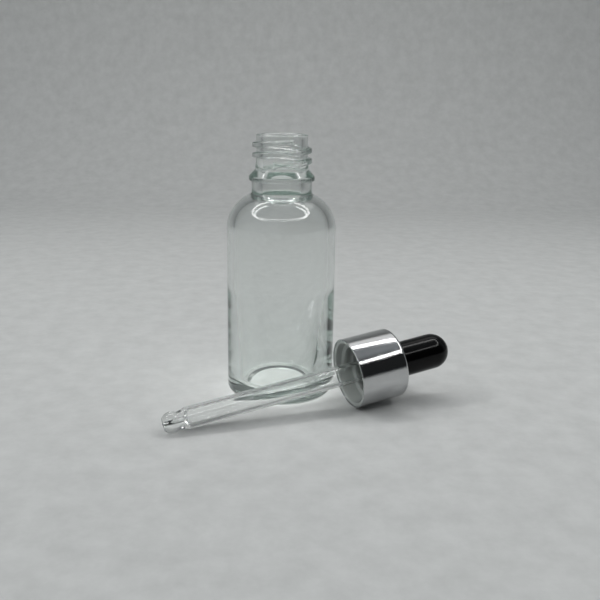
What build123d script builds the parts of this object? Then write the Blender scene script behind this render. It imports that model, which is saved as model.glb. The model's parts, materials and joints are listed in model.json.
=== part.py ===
from build123d import *
import os
from math import asin, atan2, cos, degrees, hypot, radians, sin, sqrt

# Dropper bottle: a small round glass bottle with a screw neck, standing open, and its
# dropper, which lies on the same surface in front of it. Millimetres, +Z up.
# The origin is on the bottle's axis, in the plane of its foot. The dropper's axis lies in a
# plane of constant Y, with its tip towards -X and its bulb towards +X.

# Bottle body
body_radius = 16.5
body_wall = 2.3
wall_gain = 1.4             # how much the wall thickens down to the floor
wall_gain_start = 30.0      # height at which it starts to thicken
floor_thickness = 3.6
shoulder_radius = 11.0
heel_radius = 2.6
inner_heel_radius = 2.4
foot_width = 2.2            # the flat ring that the bottle stands on
punt_depth = 0.7

# Bottle neck
bottle_height = 79.5
neck_length = 17.5          # from the lip down to the shoulder
neck_wall = 1.85            # at the thread's root
neck_blend = 1.0            # hollow between neck and shoulder
bore_blend = 1.6            # inside, between bore and shoulder
bead_overhang = 1.0         # beyond the thread's crests
bead_ledge = 0.85           # beyond the plain neck under it
bead_drop = 13.6            # from the lip down to the bead's underside
bead_thickness = 3.2        # with its sloped top
bead_band = 1.3             # the bead's upright outer band
bead_edge = 0.3
bead_shoulder = 0.7         # rounding between the band and the sloped top
neck_flare = 0.45           # how much the neck widens from the thread down to the bead
lip_rounding = 0.6

# Screw thread, right-hand, one start
thread_root_radius = 7.65
thread_pitch = 3.0
thread_height = 1.2
thread_turns = 2.03
thread_top_drop = 2.5       # from the lip down to the thread's upper end
thread_start_angle = -121.2
neck_ridge_foot = 2.0       # width of the neck's ridge at its foot and at its crest
neck_ridge_crest = 0.8
thread_clearance = 0.3
thread_root_sink = 0.35     # how deep a ridge is rooted in its wall

# Collar of the dropper: a metal shell over a threaded plastic liner
collar_height = 15.2
collar_edge = 1.2
shell_wall = 0.4
rim_edge = 0.15
liner_recess = 0.3          # the liner's rim behind the shell's
liner_wall = 0.93           # at the thread's root
liner_top = 1.2
liner_ridge_foot = 1.5
liner_ridge_crest = 0.5
liner_thread_first = 3.2    # from the open rim to the start of the liner's thread
liner_thread_gap = 1.4      # from the end of the liner's thread to the bulb's flange
seat_clearance = 0.02       # between the shell and the liner

# Rubber bulb
bulb_length = 18.7          # outside the collar
bulb_wall = 1.4
bulb_room = 0.5             # inside, around the pipette's swollen end
bulb_sleeve = 2.2           # how far the thick sleeve reaches above the collar
bulb_flange_room = 0.65     # around the flange, to the root of the liner's thread
bulb_flange_thickness = 2.0
bulb_hole_clearance = 0.12
flange_clearance = 0.05

# Glass pipette
pipette_radius = 3.1
pipette_wall = 1.0
pipette_reach = 54.2        # from the collar's open rim to the centre of the ball tip
pipette_bead = 0.4          # swelling that locks the top end in the bulb
pipette_bead_length = 1.6
pipette_grip_clearance = 0.03
tip_ball_step = 0.05        # how much slimmer the ball is than the tube
tip_face = 2.4              # from the ball's centre to its flat end
tip_neck_radius = 2.5
tip_neck_end = 2.1          # from the ball's centre to the cone
tip_cone_end = 4.2
tip_bore_radius = 0.5

# How the dropper lies beside the bottle
pipette_gap = 2.0           # from the pipette to the bottle's side
rim_gap = 0.8               # from the collar's rim to the bottle's side

# Worked out from the sizes above
tip_ball_radius = pipette_radius - tip_ball_step
inner_radius = body_radius - body_wall
bore_radius = thread_root_radius - neck_wall
thread_crest_radius = thread_root_radius + thread_height
bead_radius = thread_crest_radius + bead_overhang
neck_radius = bead_radius - bead_ledge
liner_root_radius = thread_crest_radius + thread_clearance
liner_outer_radius = liner_root_radius + liner_wall
collar_radius = liner_outer_radius + seat_clearance + shell_wall
liner_ceiling = collar_height - shell_wall - seat_clearance - liner_top
bulb_hollow_radius = pipette_radius + pipette_bead + bulb_room
bulb_radius = bulb_hollow_radius + bulb_wall
bulb_flange_radius = liner_root_radius - bulb_flange_room
bulb_hole_radius = bulb_radius + bulb_hole_clearance
flange_top = liner_ceiling - flange_clearance
flange_bottom = flange_top - bulb_flange_thickness
sleeve_top = collar_height + bulb_sleeve
bulb_dome_centre = collar_height + bulb_length - bulb_radius
pipette_top = sleeve_top + pipette_bead_length
thread_bottom = bottle_height - thread_top_drop - thread_turns * thread_pitch
lie_distance = body_radius + pipette_gap + pipette_radius


def shoulder_rise(radius, neck):
    """How far a shoulder of this radius climbs from the straight side to this neck radius."""
    return sqrt(radius**2 - max(neck - body_radius + shoulder_radius, 0) ** 2)


# where the bottle's straight side ends
shoulder_height = bottle_height - neck_length - shoulder_rise(shoulder_radius, neck_radius)


def dropper_tilt():
    """Degrees by which the dropper's axis rises from tip to bulb.

    It rests on the ball tip and on the lowest point of the collar's rounded rim.
    """
    reach = pipette_reach + rim_edge
    rim = collar_radius - rim_edge
    return degrees(atan2(rim, reach) - asin((tip_ball_radius - rim_edge) / hypot(reach, rim)))


def dropper_place():
    """Location of the dropper's own frame: its origin is the centre of the collar's open rim,
    and its +Z runs along the axis to the bulb."""
    tilt = dropper_tilt()
    beside = sqrt((body_radius + rim_gap) ** 2 - (lie_distance - collar_radius) ** 2)
    height = tip_ball_radius + pipette_reach * sin(radians(tilt))
    return Location((beside, -lie_distance, height), (0, 90 - tilt, 0))


def outline(*pieces):
    """A face in the XZ plane, bounded by the given edges and lines between given points."""
    edges = [Plane.XZ * piece for piece in pieces]
    return make_face(edges)


def corners(face, *places):
    """The face's vertices nearest to the given (radius, height) places."""
    return [face.vertices().sort_by_distance(Vector(r, 0, z))[0] for r, z in places]


def spun(face):
    return revolve(face, Axis.Z, 360)


def rounded(face, radius, *places):
    return fillet(corners(face, *places), radius)


def ridge(foot_radius, crest_radius, foot, crest, turns, start_height, start_angle):
    """One helical ridge that stands out from foot_radius to crest_radius.

    The path is the helix at the foot, and the section is rooted a little behind it.
    """
    outward = 1 if crest_radius > foot_radius else -1
    height = abs(crest_radius - foot_radius)
    root = foot + (foot - crest) * thread_root_sink / height
    path = Helix(thread_pitch, turns * thread_pitch, foot_radius)
    section = Plane(origin=(foot_radius, 0, 0), x_dir=(outward, 0, 0), z_dir=(0, outward, 0))
    profile = section * make_face(
        Polyline(
            (-thread_root_sink, -root / 2), (height, -crest / 2),
            (height, crest / 2), (-thread_root_sink, root / 2), close=True,
        )
    )
    solid = sweep(profile, path=path, is_frenet=True)
    return Location((0, 0, start_height), (0, 0, start_angle)) * solid


def shoulder(radius, neck):
    """Edges from the straight side in to the neck: an arc, and a level line past its crown."""
    centre = body_radius - shoulder_radius
    rise = shoulder_rise(radius, neck)
    top = shoulder_height + rise
    crown = max(neck, centre)
    edges = [CenterArc((centre, shoulder_height), radius, 0, degrees(atan2(rise, crown - centre)))]
    if neck < centre:
        edges.append(Line((crown, top), (neck, top)))
    return edges, top


def bottle_outside():
    """Outer outline of the glass, from the axis round the foot and up to the lip."""
    foot_outer = body_radius - heel_radius
    foot_inner = foot_outer - foot_width
    bead_bottom = bottle_height - bead_drop
    bead_top = bead_bottom + bead_thickness
    band = bead_bottom + bead_band
    slope, join = shoulder(shoulder_radius, neck_radius)
    face = outline(
        Line((0, punt_depth), (foot_inner - punt_depth * 2, punt_depth)),
        Line((foot_inner - punt_depth * 2, punt_depth), (foot_inner, 0)),
        Line((foot_inner, 0), (foot_outer, 0)),
        CenterArc((foot_outer, heel_radius), heel_radius, -90, 90),
        Line((body_radius, heel_radius), (body_radius, shoulder_height)),
        *slope,
        Line((neck_radius, join), (neck_radius, bead_bottom)),
        Line((neck_radius, bead_bottom), (bead_radius, bead_bottom)),
        Line((bead_radius, bead_bottom), (bead_radius, band)),
        Line((bead_radius, band), (thread_root_radius + neck_flare, bead_top)),
        Line((thread_root_radius + neck_flare, bead_top), (thread_root_radius, thread_bottom)),
        Line((thread_root_radius, thread_bottom), (thread_root_radius, bottle_height)),
        Line((thread_root_radius, bottle_height), (0, bottle_height)),
        Line((0, bottle_height), (0, punt_depth)),
    )
    face = rounded(face, neck_blend, (neck_radius, join))
    face = rounded(face, bead_edge, (bead_radius, bead_bottom))
    face = rounded(face, bead_shoulder, (bead_radius, band))
    return rounded(face, neck_blend, (thread_root_radius + neck_flare, bead_top))


def bottle_inside():
    """Outline of the hollow: floor, side, shoulder and neck bore."""
    slope, join = shoulder(shoulder_radius - body_wall, bore_radius)
    floor_radius = inner_radius - wall_gain
    face = outline(
        Line((0, floor_thickness), (floor_radius, floor_thickness)),
        Line((floor_radius, floor_thickness), (inner_radius, wall_gain_start)),
        Line((inner_radius, wall_gain_start), (inner_radius, shoulder_height)),
        *slope,
        Line((bore_radius, join), (bore_radius, bottle_height + 1)),
        Line((bore_radius, bottle_height + 1), (0, bottle_height + 1)),
        Line((0, bottle_height + 1), (0, floor_thickness)),
    )
    face = rounded(face, inner_heel_radius, (floor_radius, floor_thickness))
    return rounded(face, bore_blend, (bore_radius, join))


def make_bottle():
    section = bottle_outside() - bottle_inside()
    lip = [(thread_root_radius, bottle_height), (bore_radius, bottle_height)]
    glass = spun(rounded(section, lip_rounding, *lip))
    return glass + ridge(
        thread_root_radius, thread_crest_radius, neck_ridge_foot, neck_ridge_crest,
        thread_turns, thread_bottom, thread_start_angle,
    )


def make_cap_shell():
    inside = collar_radius - shell_wall
    under = collar_height - shell_wall
    face = outline(
        Polyline(
            (inside, 0), (collar_radius, 0), (collar_radius, collar_height),
            (bulb_hole_radius, collar_height), (bulb_hole_radius, under), (inside, under),
            close=True,
        )
    )
    face = rounded(face, collar_edge, (collar_radius, collar_height))
    face = rounded(face, collar_edge - shell_wall, (inside, under))
    face = rounded(face, rim_edge, (collar_radius, 0), (inside, 0))
    return spun(face)


def make_cap_liner():
    top = liner_ceiling + liner_top
    face = outline(
        Polyline(
            (liner_root_radius, liner_recess), (liner_outer_radius, liner_recess),
            (liner_outer_radius, top), (bulb_hole_radius, top),
            (bulb_hole_radius, liner_ceiling), (liner_root_radius, liner_ceiling), close=True,
        )
    )
    face = rounded(face, collar_edge - shell_wall, (liner_outer_radius, top))
    face = rounded(face, (liner_outer_radius - liner_root_radius) / 3, (liner_root_radius, liner_recess))
    thread_end = flange_bottom - liner_thread_gap
    turns = (thread_end - liner_thread_first) / thread_pitch
    return spun(face) + ridge(
        liner_root_radius, liner_root_radius - thread_height, liner_ridge_foot,
        liner_ridge_crest, turns, liner_thread_first, 0,
    )


def make_bulb():
    grip = pipette_radius + pipette_grip_clearance
    outside = outline(
        Line((0, flange_bottom), (bulb_flange_radius, flange_bottom)),
        Line((bulb_flange_radius, flange_bottom), (bulb_flange_radius, flange_top)),
        Line((bulb_flange_radius, flange_top), (bulb_radius, flange_top)),
        Line((bulb_radius, flange_top), (bulb_radius, bulb_dome_centre)),
        CenterArc((0, bulb_dome_centre), bulb_radius, 0, 90),
        Line((0, bulb_dome_centre + bulb_radius), (0, flange_bottom)),
    )
    hollow = outline(
        Line((0, flange_bottom - 1), (grip, flange_bottom - 1)),
        Line((grip, flange_bottom - 1), (grip, sleeve_top)),
        Line((grip, sleeve_top), (bulb_hollow_radius, sleeve_top)),
        Line((bulb_hollow_radius, sleeve_top), (bulb_hollow_radius, bulb_dome_centre)),
        CenterArc((0, bulb_dome_centre), bulb_hollow_radius, 0, 90),
        Line((0, bulb_dome_centre + bulb_hollow_radius), (0, flange_bottom - 1)),
    )
    return spun(outside) - spun(hollow)


def make_pipette():
    ball = -pipette_reach
    bore = pipette_radius - pipette_wall
    face_radius = sqrt(tip_ball_radius**2 - tip_face**2)
    ball_end = sqrt(tip_ball_radius**2 - tip_neck_radius**2)
    first = degrees(atan2(-tip_face, face_radius))
    last = degrees(atan2(ball_end, tip_neck_radius))
    tube_start = ball + tip_cone_end
    shoulder = tube_start + pipette_wall
    swelling = pipette_top - pipette_bead_length / 2
    outside = outline(
        Line((0, ball - tip_face), (face_radius, ball - tip_face)),
        CenterArc((0, ball), tip_ball_radius, first, last - first),
        Line((tip_neck_radius, ball + ball_end), (tip_neck_radius, ball + tip_neck_end)),
        Line((tip_neck_radius, ball + tip_neck_end), (pipette_radius, tube_start)),
        Line((pipette_radius, tube_start), (pipette_radius, pipette_top - pipette_bead_length)),
        ThreePointArc(
            (pipette_radius, pipette_top - pipette_bead_length),
            (pipette_radius + pipette_bead, swelling),
            (pipette_radius, pipette_top),
        ),
        Line((pipette_radius, pipette_top), (0, pipette_top)),
        Line((0, pipette_top), (0, ball - tip_face)),
    )
    hollow = outline(
        Line((0, ball - tip_face - 1), (tip_bore_radius, ball - tip_face - 1)),
        Line((tip_bore_radius, ball - tip_face - 1), (tip_bore_radius, tube_start)),
        Line((tip_bore_radius, tube_start), (bore, shoulder)),
        Line((bore, shoulder), (bore, pipette_top + 1)),
        Line((bore, pipette_top + 1), (0, pipette_top + 1)),
        Line((0, pipette_top + 1), (0, ball - tip_face - 1)),
    )
    outside = rounded(outside, pipette_wall, (pipette_radius, tube_start))
    return spun(outside) - spun(hollow)


def main():
    os.makedirs("parts", exist_ok=True)
    lying = dropper_place()
    nodes = {
        "bottle": make_bottle(),
        "cap_shell": lying * make_cap_shell(),
        "cap_liner": lying * make_cap_liner(),
        "bulb": lying * make_bulb(),
        "pipette": lying * make_pipette(),
    }
    for name, solid in nodes.items():
        export_step(solid, f"parts/{name}.step")
    print("dropper rim centre", lying.position, "tilt", round(dropper_tilt(), 3))


main()
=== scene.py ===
import json
from math import atan2, cos, degrees, pi, radians, sin, sqrt

import bmesh
import bpy
from mathutils import Matrix, Vector, noise


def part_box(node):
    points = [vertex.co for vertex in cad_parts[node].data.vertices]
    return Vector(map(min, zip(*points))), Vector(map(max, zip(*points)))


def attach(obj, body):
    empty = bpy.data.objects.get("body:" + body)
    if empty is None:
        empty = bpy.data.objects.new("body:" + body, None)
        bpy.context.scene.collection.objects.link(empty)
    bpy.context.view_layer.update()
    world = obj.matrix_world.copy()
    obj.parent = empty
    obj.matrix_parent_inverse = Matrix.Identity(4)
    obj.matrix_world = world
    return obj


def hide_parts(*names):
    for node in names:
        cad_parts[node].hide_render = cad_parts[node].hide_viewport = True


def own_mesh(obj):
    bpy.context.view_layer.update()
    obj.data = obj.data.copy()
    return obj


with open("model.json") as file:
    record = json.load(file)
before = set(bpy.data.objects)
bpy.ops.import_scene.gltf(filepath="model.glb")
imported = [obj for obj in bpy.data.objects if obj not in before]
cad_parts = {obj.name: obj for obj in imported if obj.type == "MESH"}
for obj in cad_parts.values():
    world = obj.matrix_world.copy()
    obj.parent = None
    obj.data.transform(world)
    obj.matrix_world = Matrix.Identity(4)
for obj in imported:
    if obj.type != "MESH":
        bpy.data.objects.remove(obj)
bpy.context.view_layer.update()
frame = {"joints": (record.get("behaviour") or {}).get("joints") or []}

MM = 0.001
ON_AXIS = 1e-7

# ---------------------------------------------------------------- places taken from the frame
bottle_low, bottle_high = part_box("bottle")
BODY_RADIUS = bottle_high.x
BOTTLE_HEIGHT = bottle_high.z
cap_turn = next(joint for joint in frame["joints"] if joint["name"] == "cap_turn")
RIM_CENTRE = Vector(cap_turn["pos_m"])
DROPPER_AXIS = Vector(cap_turn["axis"]).normalized()
DROPPER = Matrix.Translation(RIM_CENTRE) @ DROPPER_AXIS.to_track_quat("Z", "Y").to_matrix().to_4x4()

# ---------------------------------------------------------------- sizes of the bottle
BODY_WALL = 2.3 * MM
FLOOR_THICKNESS = 3.6 * MM
SHOULDER_RADIUS = 11.0 * MM
HEEL_RADIUS = 2.6 * MM
INNER_HEEL_RADIUS = 2.4 * MM
FOOT_WIDTH = 2.2 * MM
FOOT_EDGE = 0.5 * MM
PUNT_DEPTH = 0.7 * MM
PUNT_SLOPE = 2.5 * MM
PUNT_EDGE = 1.5 * MM
# from WALL_GAIN_START down to the floor the wall thickens by WALL_GAIN, most on the THICK_SIDE
WALL_GAIN = 2.9 * MM
WALL_GAIN_START = 33 * MM
THICK_SIDE = radians(-21)
WALL_UNEVENNESS = 0.2
WALL_WAVES = 0.05 * MM
WAVES_PER_METRE = 15

NECK_LENGTH = 17.5 * MM
NECK_WALL = 1.85 * MM
NECK_BLEND = 1.0 * MM
NECK_FLARE = 0.45 * MM
BORE_BLEND = 1.6 * MM
LIP_ROUNDING = 0.6 * MM
THREAD_ROOT = 7.65 * MM
THREAD_HEIGHT = 1.2 * MM
THREAD_PITCH = 3.0 * MM
THREAD_TURNS = 2.08
THREAD_TOP_DROP = 2.25 * MM
THREAD_START = radians(-122)
THREAD_FOOT = 1.75 * MM
THREAD_FADE = 0.03
BEAD_DROP = 13.6 * MM
BEAD_THICKNESS = 3.2 * MM
BEAD_BAND = 1.3 * MM
BEAD_UNDER_EDGE = 0.25 * MM
BEAD_LOW_EDGE = 0.35 * MM
BEAD_HIGH_EDGE = 0.7 * MM
BEAD_RADIUS = THREAD_ROOT + THREAD_HEIGHT + 1.0 * MM
NECK_RADIUS = BEAD_RADIUS - 0.85 * MM
BORE_RADIUS = THREAD_ROOT - NECK_WALL

# ---------------------------------------------------------------- sizes of the dropper
COLLAR_RADIUS = 10.5 * MM
COLLAR_HEIGHT = 15.2 * MM
COLLAR_EDGE = 1.2 * MM
SHELL_WALL = 0.4 * MM
SHELL_RIM = 0.15 * MM
LINER_ROOT = 9.15 * MM
LINER_RIM = 0.3 * MM
LINER_CEILING = 13.58 * MM
LINER_TOP = 1.2 * MM
LINER_SMOOTH = 12.0 * MM
LINER_THREAD_FIRST = 3.2 * MM
LINER_THREAD_LAST = 10.13 * MM
LINER_THREAD_FOOT = 1.8 * MM
LINER_THREAD_FADE = 0.04
SEAT_CLEARANCE = 0.02 * MM
HOLE_CLEARANCE = 0.12 * MM

BULB_RADIUS = 5.4 * MM
BULB_LENGTH = 18.7 * MM
BULB_HOLLOW = 4.0 * MM
BULB_SLEEVE = 2.2 * MM
FLANGE_RADIUS = 8.5 * MM
FLANGE_THICKNESS = 2.0 * MM
FLANGE_CLEARANCE = 0.05 * MM
FLANGE_EDGE = 0.3 * MM
FOOT_FLARE = 0.12 * MM
FOOT_HEIGHT = 0.9 * MM
FLARE_LENGTH = 1.6 * MM
GRIP_CLEARANCE = 0.03 * MM

PIPETTE_RADIUS = 3.1 * MM
PIPETTE_WALL = 1.0 * MM
PIPETTE_REACH = 54.2 * MM
PIPETTE_BEAD = 0.4 * MM
PIPETTE_BEAD_LENGTH = 1.6 * MM
BALL_RADIUS = 3.05 * MM
BALL_FACE = 2.4 * MM
TIP_NECK_RADIUS = 2.5 * MM
TIP_NECK_LENGTH = 0.35 * MM
TIP_CONE_END = 4.2 * MM
TIP_BORE = 0.5 * MM


# ---------------------------------------------------------------- mesh helpers
def arc(centre, radius, start, end, steps):
    """Points on an arc from start to end, in degrees, both ends included."""
    angles = [radians(start + (end - start) * i / steps) for i in range(steps + 1)]
    return [(centre[0] + radius * cos(a), centre[1] + radius * sin(a)) for a in angles]


def rounded(corners, steps=8):
    """The outline through (radius, height, rounding) corners, each corner rounded by an arc."""
    points = []
    for i, (r, z, rounding) in enumerate(corners):
        if not rounding or i in (0, len(corners) - 1):
            points.append((r, z))
            continue
        here = Vector((r, z))
        before = (Vector(corners[i - 1][:2]) - here).normalized()
        after = (Vector(corners[i + 1][:2]) - here).normalized()
        half = before.angle(after) / 2
        reach = rounding / sin(half)
        centre = here + (before + after).normalized() * reach
        first = here + before * (rounding / sin(half) * cos(half)) - centre
        last = here + after * (rounding / sin(half) * cos(half)) - centre
        turn = first.angle_signed(last)
        for k in range(steps + 1):
            swing = Matrix.Rotation(-turn * k / steps, 2)
            points.append(tuple(centre + swing @ first))
    return points


def spin(name, outline, place=Matrix.Identity(4), columns=192, shape=None):
    """A closed skin made by turning an outline of (radius, height) points about +Z.

    Points on the axis become single vertices. shape(angle, r, z) may return a changed radius.
    """
    verts, rings = [], []
    for r, z in outline:
        if r < ON_AXIS:
            rings.append([len(verts)])
            verts.append((0, 0, z))
            continue
        rings.append(range(len(verts), len(verts) + columns))
        for k in range(columns):
            angle = 2 * pi * k / columns
            radius = shape(angle, r, z) if shape else r
            verts.append((radius * cos(angle), radius * sin(angle), z))
    faces = []
    closed = outline[0][0] > ON_AXIS
    pairs = zip(rings, rings[1:] + rings[:1] if closed else rings[1:])
    for low, high in pairs:
        for k in range(columns):
            n = (k + 1) % columns
            if len(low) == 1:
                faces.append((low[0], high[k], high[n]))
            elif len(high) == 1:
                faces.append((low[k], high[0], low[n]))
            else:
                faces.append((low[k], high[k], high[n], low[n]))
    mesh = bpy.data.meshes.new(name)
    mesh.from_pydata([place @ Vector(v) for v in verts], [], faces)
    mesh.update()
    mesh.shade_smooth()
    obj = bpy.data.objects.new(name, mesh)
    bpy.context.scene.collection.objects.link(obj)
    face_outwards(obj)
    return obj


def face_outwards(obj):
    """Turn every face of a closed skin to the outside."""
    work = bmesh.new()
    work.from_mesh(obj.data)
    bmesh.ops.recalc_face_normals(work, faces=work.faces)
    work.to_mesh(obj.data)
    work.free()


def smooth_step(x):
    """0 below 0, 1 above 1, and a soft rise between them."""
    x = min(max(x, 0.0), 1.0)
    return x * x * (3 - 2 * x)


def ridge_height(angle, z, start, bottom, turns, pitch, foot, fade):
    """Share of the full ridge height, 0 to 1, of a one-start right-hand thread at a point."""
    best = 0.0
    turned = ((angle - start) / (2 * pi)) % 1.0
    for whole in range(-1, int(turns) + 2):
        along = turned + whole
        if along < -fade or along > turns + fade:
            continue
        off = min(abs(z - (bottom + along * pitch)) / (foot / 2), 1.0)
        side = smooth_step(sqrt(1 - off * off) * 1.15)
        ends = smooth_step((along + fade) / (2 * fade)) * smooth_step((turns + fade - along) / (2 * fade))
        best = max(best, side * ends)
    return best


# ---------------------------------------------------------------- materials
def material(name, **values):
    made = bpy.data.materials.new(name)
    made.use_nodes = True
    shader = made.node_tree.nodes["Principled BSDF"]
    for socket, value in values.items():
        shader.inputs[socket.replace("_", " ")].default_value = value
    return made, made.node_tree, shader


def node(tree, kind, settings=None, **inputs):
    made = tree.nodes.new(kind)
    for key, value in (settings or {}).items():
        setattr(made, key, value)
    for socket, value in inputs.items():
        made.inputs[socket.replace("_", " ")].default_value = value
    return made


def noise_from(tree, scale, detail=3.0, roughness=0.5):
    where = node(tree, "ShaderNodeTexCoord")
    grain = node(tree, "ShaderNodeTexNoise", Scale=scale, Detail=detail, Roughness=roughness)
    tree.links.new(where.outputs["Object"], grain.inputs["Vector"])
    return grain


def ranged(tree, value, low, high, start=0.3, end=0.7):
    """Bring a value that runs from start to end into the range from low to high."""
    mapped = node(tree, "ShaderNodeMapRange")
    for socket, number in zip(("From Min", "From Max", "To Min", "To Max"), (start, end, low, high)):
        mapped.inputs[socket].default_value = number
    tree.links.new(value, mapped.inputs["Value"])
    return mapped.outputs["Result"]


def roughen(tree, shader, texture, low, high, start=0.3, end=0.7):
    """Let the roughness drift from low to high with a noise texture."""
    roughness = ranged(tree, texture.outputs["Fac"], low, high, start, end)
    tree.links.new(roughness, shader.inputs["Roughness"])


def bump(tree, shader, texture, strength, distance):
    made = node(tree, "ShaderNodeBump", Strength=strength, Distance=distance)
    tree.links.new(texture.outputs["Fac"], made.inputs["Height"])
    tree.links.new(made.outputs["Normal"], shader.inputs["Normal"])


def clouds(tree, shader, texture, dark, light, start=0.0, end=1.0):
    """Let the base colour drift between two tones with a noise texture."""
    ramp = node(tree, "ShaderNodeValToRGB")
    for stop, position, tone in zip(ramp.color_ramp.elements, (start, end), (dark, light)):
        stop.position = position
        stop.color = (*tone, 1)
    tree.links.new(texture.outputs["Fac"], ramp.inputs["Fac"])
    tree.links.new(ramp.outputs["Color"], shader.inputs["Base Color"])


def glass(name, tint, density, unevenness):
    """Clear glass with faint smears, a slightly wavy skin and a colour that grows with depth."""
    made, tree, shader = material(
        name, Base_Color=(0.99, 0.996, 0.993, 1), IOR=1.51, Transmission_Weight=1.0,
    )
    roughen(tree, shader, noise_from(tree, 90, 4), 0.0, 0.003, 0.5, 0.8)
    bump(tree, shader, noise_from(tree, 140, 2), unevenness, 0.4 * MM)
    absorb = node(tree, "ShaderNodeVolumeAbsorption", Color=(*tint, 1), Density=density)
    tree.links.new(absorb.outputs["Volume"], tree.nodes["Material Output"].inputs["Volume"])
    return made


def aluminium():
    made, tree, shader = material("bright_aluminium", Metallic=1.0)
    clouds(tree, shader, noise_from(tree, 250, 3), (0.50, 0.505, 0.51), (0.61, 0.615, 0.62))
    roughen(tree, shader, noise_from(tree, 700, 4, 0.6), 0.04, 0.09)
    bump(tree, shader, noise_from(tree, 3000, 3, 0.6), 0.6, 0.04 * MM)
    return made


def plastic():
    made, tree, shader = material("liner_plastic", Specular_IOR_Level=0.5)
    clouds(tree, shader, noise_from(tree, 300, 3), (0.45, 0.475, 0.46), (0.53, 0.56, 0.54))
    skin = noise_from(tree, 2500, 2)
    roughen(tree, shader, skin, 0.32, 0.48)
    bump(tree, shader, skin, 0.1, 0.05 * MM)
    return made


def rubber():
    made, tree, shader = material("black_rubber", Specular_IOR_Level=0.16)
    clouds(tree, shader, noise_from(tree, 200, 4), (0.0006, 0.0006, 0.0008), (0.0018, 0.0018, 0.0021))
    dust = noise_from(tree, 1500, 3)
    roughen(tree, shader, dust, 0.11, 0.18)
    bump(tree, shader, dust, 0.05, 0.05 * MM)
    return made


def paper():
    made, tree, shader = material("pale_floor", Roughness=0.75, Specular_IOR_Level=0.25)
    mottle = noise_from(tree, 120, 6, 0.65)
    clouds(tree, shader, mottle, (0.56, 0.57, 0.565), (0.65, 0.66, 0.655), 0.3, 0.7)
    return made


def finish_piece(obj, body, slot, look, *nodes):
    """Give a piece its look, hang it on the empty of the body it rides on and hide the CAD nodes it stands
    in for.
    """
    obj.data.materials.append(look)
    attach(obj, body)
    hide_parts(*nodes)
    return obj


# ---------------------------------------------------------------- bottle
def neck_turn(centre, height, radius, neck, blend):
    """Centre (radius, height) of the rounding between the shoulder's arc and the neck's wall,
    and the angle in degrees on the shoulder's arc where it takes over."""
    r = neck + blend
    z = height + sqrt((radius + blend) ** 2 - (r - centre) ** 2)
    return (r, z), degrees(atan2(z - height, r - centre))


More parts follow.
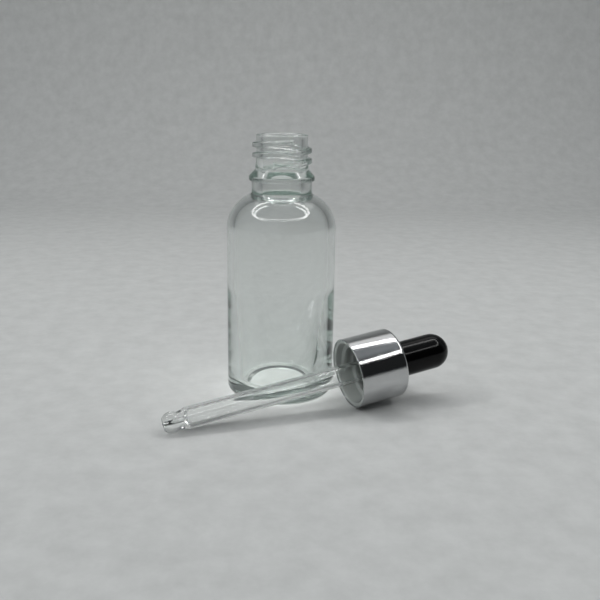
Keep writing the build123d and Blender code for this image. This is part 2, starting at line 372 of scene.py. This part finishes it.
def make_bottle(look):
    """One outline from the punt's centre up the outside, over the lip and down the inside."""
    centre = BODY_RADIUS - SHOULDER_RADIUS
    rise = sqrt(SHOULDER_RADIUS**2 - (NECK_RADIUS - centre) ** 2)
    side_top = BOTTLE_HEIGHT - NECK_LENGTH - rise
    bead_low = BOTTLE_HEIGHT - BEAD_DROP
    bead_high = bead_low + BEAD_THICKNESS
    thread_low = BOTTLE_HEIGHT - THREAD_TOP_DROP - THREAD_TURNS * THREAD_PITCH
    foot_outer = BODY_RADIUS - HEEL_RADIUS
    foot_inner = foot_outer - FOOT_WIDTH
    inner = BODY_RADIUS - BODY_WALL
    inner_shoulder = SHOULDER_RADIUS - BODY_WALL
    floor_flat = inner * 0.4
    ridge_reach = 2.0 * MM
    ridge_low = thread_low - ridge_reach / 2

    blend, turn = neck_turn(centre, side_top, SHOULDER_RADIUS, NECK_RADIUS, NECK_BLEND)
    outline = rounded([
        (0, PUNT_DEPTH, 0),
        (foot_inner - PUNT_SLOPE, PUNT_DEPTH, PUNT_EDGE),
        (foot_inner, 0, FOOT_EDGE),
        (foot_outer, 0, 0),
    ])
    outline += arc((foot_outer, HEEL_RADIUS), HEEL_RADIUS, -90, 0, 14)
    outline += [(BODY_RADIUS, HEEL_RADIUS + (side_top - HEEL_RADIUS) * i / 12) for i in range(1, 12)]
    outline += arc((centre, side_top), SHOULDER_RADIUS, 0, turn, 28)
    outline += arc(blend, NECK_BLEND, turn + 180, 180, 8)[1:]
    outline += rounded([
        (NECK_RADIUS, blend[1] + 0.5 * MM, 0),
        (NECK_RADIUS, bead_low, BEAD_UNDER_EDGE),
        (BEAD_RADIUS, bead_low, BEAD_LOW_EDGE),
        (BEAD_RADIUS, bead_low + BEAD_BAND, BEAD_HIGH_EDGE),
        (THREAD_ROOT + NECK_FLARE, bead_high, NECK_BLEND),
        (THREAD_ROOT + NECK_FLARE * 0.5, ridge_low, 0),
    ])
    rows = 84
    top = BOTTLE_HEIGHT - LIP_ROUNDING
    outline += [(THREAD_ROOT, ridge_low + (top - ridge_low) * i / rows) for i in range(1, rows)]
    outline += arc((THREAD_ROOT - LIP_ROUNDING, top), LIP_ROUNDING, 0, 90, 8)
    outline += arc((BORE_RADIUS + LIP_ROUNDING, top), LIP_ROUNDING, 90, 180, 8)
    blend, turn = neck_turn(centre, side_top, inner_shoulder, BORE_RADIUS, BORE_BLEND)
    outline += [(BORE_RADIUS, top + (blend[1] - top) * i / 16) for i in range(1, 16)]
    outline += arc(blend, BORE_BLEND, 180, turn + 180, 10)
    outline += arc((centre, side_top), inner_shoulder, turn, 0, 22)[1:]
    heel_top = FLOOR_THICKNESS + INNER_HEEL_RADIUS
    outline += [(inner, side_top + (heel_top - side_top) * i / 60) for i in range(1, 60)]
    outline += arc((inner - INNER_HEEL_RADIUS, heel_top), INNER_HEEL_RADIUS, 0, -90, 14)
    outline += [(floor_flat, FLOOR_THICKNESS), (0, FLOOR_THICKNESS)]

    def shape(angle, r, z):
        if floor_flat < r < inner + 0.1 * MM and FLOOR_THICKNESS <= z < WALL_GAIN_START:
            share = (WALL_GAIN_START - z) / (WALL_GAIN_START - FLOOR_THICKNESS)
            gain = WALL_GAIN * (1 + WALL_UNEVENNESS * cos(angle - THICK_SIDE))
            waves = WALL_WAVES * noise.noise(Vector((cos(angle), sin(angle), z * WAVES_PER_METRE)))
            return r - gain * share + waves * smooth_step(3 * share)
        on_thread = thread_low - ridge_reach < z < top
        if on_thread and THREAD_ROOT - 0.01 * MM < r < THREAD_ROOT + NECK_FLARE:
            flare = NECK_FLARE * smooth_step((thread_low + ridge_reach - z) / (2.5 * ridge_reach))
            share = ridge_height(
                angle, z, THREAD_START, thread_low, THREAD_TURNS, THREAD_PITCH, THREAD_FOOT, THREAD_FADE,
            )
            return max(r, THREAD_ROOT + flare) + THREAD_HEIGHT * share
        return r

    piece = spin("bottle_glass", outline, columns=288, shape=shape)
    # with its shadow on, a dark disc shows in the bottle's floor
    piece.visible_shadow = False
    return finish_piece(piece, "bottle", "clear_glass", look, "bottle")


# ---------------------------------------------------------------- dropper
def make_pipette(look):
    """One outline from the tip's hole round the ball, along the outside and back down the bore."""
    ball = -PIPETTE_REACH
    bore = PIPETTE_RADIUS - PIPETTE_WALL
    start = ball + TIP_CONE_END
    top = COLLAR_HEIGHT + BULB_SLEEVE + PIPETTE_BEAD_LENGTH
    face_radius = sqrt(BALL_RADIUS**2 - BALL_FACE**2)
    neck_rise = sqrt(BALL_RADIUS**2 - TIP_NECK_RADIUS**2)
    low = degrees(atan2(-BALL_FACE, face_radius))
    high = degrees(atan2(neck_rise, TIP_NECK_RADIUS))
    outline = [(TIP_BORE, ball - BALL_FACE), (face_radius - 0.2 * MM, ball - BALL_FACE)]
    outline += arc((0, ball), BALL_RADIUS, low, high, 24)
    outline += rounded([
        (TIP_NECK_RADIUS, ball + neck_rise + 0.02 * MM, 0),
        (TIP_NECK_RADIUS, ball + neck_rise + TIP_NECK_LENGTH, 0.4 * MM),
        (PIPETTE_RADIUS, start, 1.2 * MM),
        (PIPETTE_RADIUS, start + 1.0 * MM, 0),
    ])
    straight = top - 3.0 * MM - start
    outline += [(PIPETTE_RADIUS, start + 1.0 * MM + straight * i / 20) for i in range(1, 20)]
    outline += rounded([
        (PIPETTE_RADIUS, top - 1.8 * MM, 0),
        (PIPETTE_RADIUS + PIPETTE_BEAD, top - 1.0 * MM, 0.5 * MM),
        (PIPETTE_RADIUS + PIPETTE_BEAD - 0.1 * MM, top, 0.4 * MM),
        (bore, top, 0.3 * MM),
        (bore, top - 1.5 * MM, 0),
    ])
    outline += [(bore, top - 1.5 * MM + (start + 2.4 * MM - top) * i / 20) for i in range(1, 20)]
    outline += rounded([
        (bore, start + 2.0 * MM, 0),
        (bore, start + 0.3 * MM, 1.2 * MM),
        (TIP_BORE, start - 0.7 * MM, 0.5 * MM),
        (TIP_BORE, ball - BALL_FACE, 0),
    ])[:-1]
    piece = spin("pipette_glass", outline, DROPPER, columns=144)
    return finish_piece(piece, "dropper", "tube_glass", look, "pipette")


def make_shell(look):
    """The bright over-shell, a cup with a hole in its top for the bulb."""
    hole = BULB_RADIUS + HOLE_CLEARANCE
    inside, under = COLLAR_RADIUS - SHELL_WALL, COLLAR_HEIGHT - SHELL_WALL
    outline = rounded([
        (inside, 5 * MM, 0),
        (inside, 0, SHELL_RIM),
        (COLLAR_RADIUS, 0, SHELL_RIM),
        (COLLAR_RADIUS, COLLAR_HEIGHT, COLLAR_EDGE),
        (hole, COLLAR_HEIGHT, 0.12 * MM),
        (hole, under, 0.1 * MM),
        (inside, under, COLLAR_EDGE - SHELL_WALL),
        (inside, 6 * MM, 0),
    ], 10)
    piece = spin("collar_shell", outline, DROPPER, columns=256)
    return finish_piece(piece, "collar", "bright_aluminium", look, "cap_shell")


def make_liner(look):
    """The threaded closure inside the shell, whose rim and first ridge show in the open end."""
    outer = COLLAR_RADIUS - SHELL_WALL - SEAT_CLEARANCE
    top = LINER_CEILING + LINER_TOP
    hole = BULB_RADIUS + HOLE_CLEARANCE
    turns = (LINER_THREAD_LAST - LINER_THREAD_FIRST) / THREAD_PITCH
    outline = rounded([
        (outer, 5 * MM, 0),
        (outer, top, COLLAR_EDGE - SHELL_WALL),
        (hole, top, 0.1 * MM),
        (hole, LINER_CEILING, 0.1 * MM),
        (LINER_ROOT, LINER_CEILING, 0.4 * MM),
        (LINER_ROOT, LINER_SMOOTH, 0),
    ])
    rows, thread_end = 80, 1.0 * MM
    outline += [(LINER_ROOT, LINER_SMOOTH + (thread_end - LINER_SMOOTH) * i / rows) for i in range(1, rows)]
    outline += rounded([
        (LINER_ROOT, thread_end, 0),
        (LINER_ROOT, LINER_RIM, 0.3 * MM),
        (outer, LINER_RIM, 0.1 * MM),
        (outer, 4 * MM, 0),
    ])

    def shape(angle, r, z):
        if abs(r - LINER_ROOT) > 0.01 * MM or z > LINER_SMOOTH - 0.1 * MM:
            return r
        share = ridge_height(
            angle, z, 0.0, LINER_THREAD_FIRST, turns, THREAD_PITCH, LINER_THREAD_FOOT, LINER_THREAD_FADE,
        )
        return r - THREAD_HEIGHT * share

    piece = spin("collar_liner", outline, DROPPER, columns=240, shape=shape)
    return finish_piece(piece, "collar", "liner_plastic", look, "cap_liner")


def make_bulb(look):
    """The foot in the collar's hole and the teat above it, built as two separate pieces."""
    flange_top = LINER_CEILING - FLANGE_CLEARANCE
    flange_low = flange_top - FLANGE_THICKNESS
    split = COLLAR_HEIGHT + FOOT_HEIGHT
    dome = COLLAR_HEIGHT + BULB_LENGTH - BULB_RADIUS
    grip = PIPETTE_RADIUS + GRIP_CLEARANCE
    sleeve = COLLAR_HEIGHT + BULB_SLEEVE
    foot = rounded([
        (grip, flange_low + 1.0 * MM, 0),
        (grip, flange_low, 0.2 * MM),
        (FLANGE_RADIUS, flange_low, FLANGE_EDGE),
        (FLANGE_RADIUS, flange_top, FLANGE_EDGE),
        (BULB_RADIUS, flange_top, 0.2 * MM),
        (BULB_RADIUS, COLLAR_HEIGHT, 0.02 * MM),
        (BULB_RADIUS + FOOT_FLARE, COLLAR_HEIGHT + 0.3 * MM, 0.1 * MM),
        (BULB_RADIUS + FOOT_FLARE, split, 0.02 * MM),
        (grip, split, 0.02 * MM),
        (grip, flange_low + 1.5 * MM, 0),
    ])
    foot_piece = spin("bulb_foot", foot, DROPPER, columns=160)
    finish_piece(foot_piece, "dropper", "black_rubber", look, "bulb")
    # from the dome's outer pole down, under the sleeve, and up to its inner pole
    teat = [(0, dome + BULB_RADIUS)] + arc((0, dome), BULB_RADIUS, 90, 0, 32)[1:]
    for i in range(1, 41):
        z = dome + (split - dome) * i / 40
        teat.append((BULB_RADIUS + FOOT_FLARE * smooth_step(1 - (z - split) / FLARE_LENGTH), z))
    teat += [(grip, split), (grip, sleeve), (BULB_HOLLOW, sleeve)]
    teat += arc((0, dome), BULB_HOLLOW, 0, 90, 20)[:-1] + [(0, dome + BULB_HOLLOW)]
    piece = spin("bulb_teat", teat, DROPPER, columns=160)
    finish_piece(piece, "dropper", "black_rubber", look, "bulb")
    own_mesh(piece)


# ---------------------------------------------------------------- camera, floor and light
CAMERA_AZIMUTH = radians(21.43)
CAMERA_DISTANCE = 0.2405
CAMERA_HEIGHT = 0.0923
CAMERA_YAW = radians(1.42)
CAMERA_PITCH = radians(14.74)
CAMERA_ROLL = radians(0.86)
CAMERA_LENS = 48.08
CAMERA_SENSOR = 36.0
LAMP_HEIGHT = 0.45
RING_STRENGTH = 9.6
PANEL_STRENGTH = 1.0
ROOM_BRIGHT = 0.31
ROOM_DARK = 0.02


def make_camera():
    data = bpy.data.cameras.new("camera")
    data.lens = CAMERA_LENS
    data.sensor_width = CAMERA_SENSOR
    data.clip_start = 0.01
    obj = bpy.data.objects.new("camera", data)
    bpy.context.scene.collection.objects.link(obj)
    away = Matrix.Rotation(-CAMERA_AZIMUTH, 3, "Z")
    obj.location = away @ Vector((0, -CAMERA_DISTANCE, CAMERA_HEIGHT))
    aim = Matrix.Rotation(-CAMERA_AZIMUTH - CAMERA_YAW, 4, "Z")
    aim = aim @ Matrix.Rotation(pi / 2 - CAMERA_PITCH, 4, "X") @ Matrix.Rotation(CAMERA_ROLL, 4, "Z")
    obj.rotation_euler = aim.to_euler()
    bpy.context.scene.camera = obj


def make_floor(look):
    """A pale sheet that lies flat and sweeps up behind the object."""
    width, front, bend, radius, height = 3.2, -0.9, 0.38, 0.17, 0.9
    line = [(front + (bend - front) * i / 10, 0.0) for i in range(11)]
    line += [(bend + radius * sin(radians(a)), radius * (1 - cos(radians(a)))) for a in range(5, 91, 5)]
    line += [(bend + radius, height)]
    verts = [(side * width / 2, y, z) for y, z in line for side in (-1, 1)]
    faces = [(2 * i, 2 * i + 1, 2 * i + 3, 2 * i + 2) for i in range(len(line) - 1)]
    mesh = bpy.data.meshes.new("floor")
    mesh.from_pydata(verts, [], faces)
    mesh.shade_smooth()
    mesh.materials.append(look)
    obj = bpy.data.objects.new("floor", mesh)
    obj.rotation_euler = (0, 0, -CAMERA_AZIMUTH)
    bpy.context.scene.collection.objects.link(obj)


def lamp(name, verts, faces, strength):
    """A glowing sheet that lights the object and shows in it, but not to the camera."""
    mesh = bpy.data.meshes.new(name)
    mesh.from_pydata(verts, [], faces)
    look = bpy.data.materials.new(name)
    look.use_nodes = True
    tree = look.node_tree
    tree.nodes.clear()
    glow = node(tree, "ShaderNodeEmission", Color=(1.0, 1.0, 0.99, 1), Strength=strength)
    out = node(tree, "ShaderNodeOutputMaterial")
    tree.links.new(glow.outputs["Emission"], out.inputs["Surface"])
    mesh.materials.append(look)
    obj = bpy.data.objects.new(name, mesh)
    obj.rotation_euler = (0, 0, -CAMERA_AZIMUTH)
    bpy.context.scene.collection.objects.link(obj)
    obj.visible_camera = False


def make_lamps():
    """An oval ring lamp hangs level above the object, with a dimmer panel behind it.

    Each oval is its centre and its two half widths; the ring is wider at its ends and its back."""
    steps = 128
    ovals = ((-0.03, -0.139, 0.405, 0.261), (-0.03, -0.131, 0.46, 0.290))
    verts = []
    for k in range(steps):
        angle = 2 * pi * k / steps
        for x, y, wide, deep in ovals:
            verts.append((x + wide * cos(angle), y + deep * sin(angle), LAMP_HEIGHT))
    faces = []
    for k in range(steps):
        a, b = 2 * k, 2 * ((k + 1) % steps)
        faces.append((a, b, b + 1, a + 1))
    lamp("ring_lamp", verts, faces, RING_STRENGTH)
    corners = ((-0.25, 0.19), (0.35, 0.19), (0.35, 0.37), (-0.25, 0.37))
    panel = [(x, y, LAMP_HEIGHT) for x, y in corners]
    lamp("back_panel", panel, [(0, 1, 2, 3)], PANEL_STRENGTH)


def make_world():
    """A dim even room, darker low down to the front right."""
    world = bpy.data.worlds.new("room")
    world.use_nodes = True
    tree = world.node_tree
    back = tree.nodes["Background"]
    back.inputs["Color"].default_value = (0.91, 0.96, 1.0, 1)
    where = node(tree, "ShaderNodeTexCoord")
    facing = node(tree, "ShaderNodeVectorMath", {"operation": "DOT_PRODUCT"})
    front_right = Matrix.Rotation(-CAMERA_AZIMUTH, 3, "Z") @ Vector((0.7, -0.7, 0.15))
    facing.inputs[1].default_value = front_right.normalized()
    tree.links.new(where.outputs["Generated"], facing.inputs[0])
    dim = ranged(tree, facing.outputs["Value"], ROOM_BRIGHT, ROOM_DARK, 0.55, 0.8)
    tree.links.new(dim, back.inputs["Strength"])
    bpy.context.scene.world = world


make_camera()
make_bottle(glass("clear_glass", (0.60, 0.68, 0.65), 52.0, 0.025))
make_pipette(glass("tube_glass", (0.64, 0.70, 0.68), 30.0, 0.004))
make_shell(aluminium())
make_liner(plastic())
make_bulb(rubber())
make_floor(paper())
make_lamps()
make_world()
scene = bpy.context.scene
scene.view_settings.view_transform = "Standard"
# light needs many bounces to get through the thick glass of the neck
scene.cycles.max_bounces = 32
scene.cycles.glossy_bounces = 24
scene.cycles.transmission_bounces = 24
